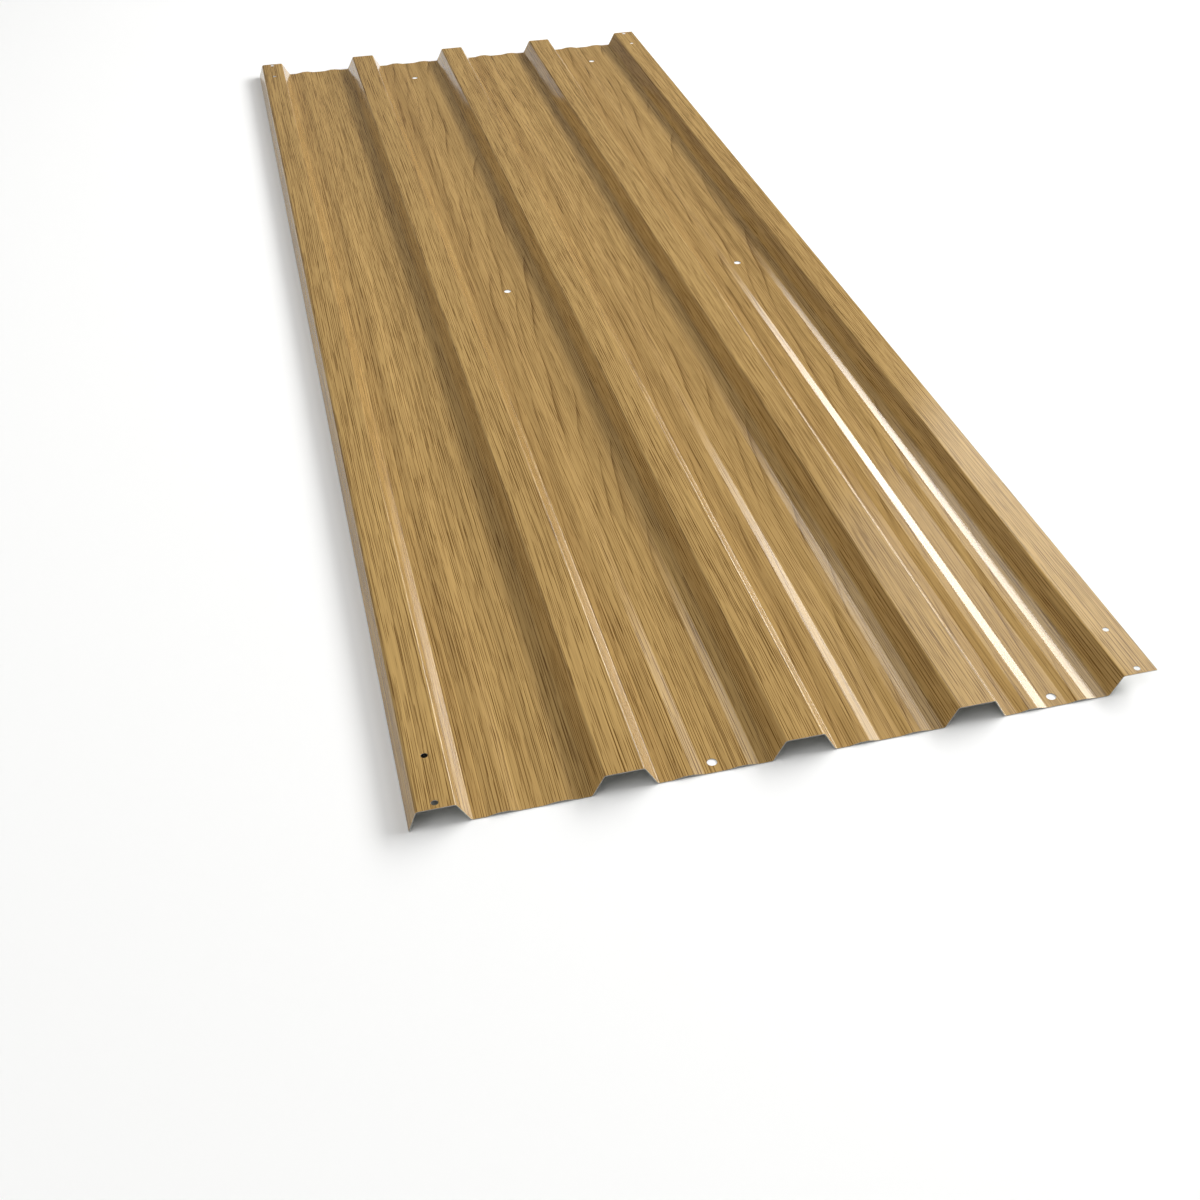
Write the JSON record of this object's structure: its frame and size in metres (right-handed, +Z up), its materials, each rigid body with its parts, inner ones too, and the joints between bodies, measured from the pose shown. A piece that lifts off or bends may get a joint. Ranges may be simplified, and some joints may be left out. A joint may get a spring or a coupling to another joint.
{
  "type": "trapezoidal roofing sheet",
  "caption": "Roll-formed trapezoidal steel roofing sheet with a wood-grain coat, lengthwise stiffening beads, a hanging side-lap leg and punched fixing holes.",
  "frame": {"origin": "middle of the sheet's footprint, on the surface that its pans lie on", "axes": "+X across the ribs, from the hanging leg to the free edge; +Y along the ribs, from the front end to the back end; +Z up, out of the printed face"},
  "size_m": [0.4502, 1.29, 0.0138],
  "materials": {
    "oak_coat": "glossy printed oak grain on galvanised steel"
  },
  "bodies": {
    "root": {"sheet": "oak_coat"}
  },
  "joints": []
}
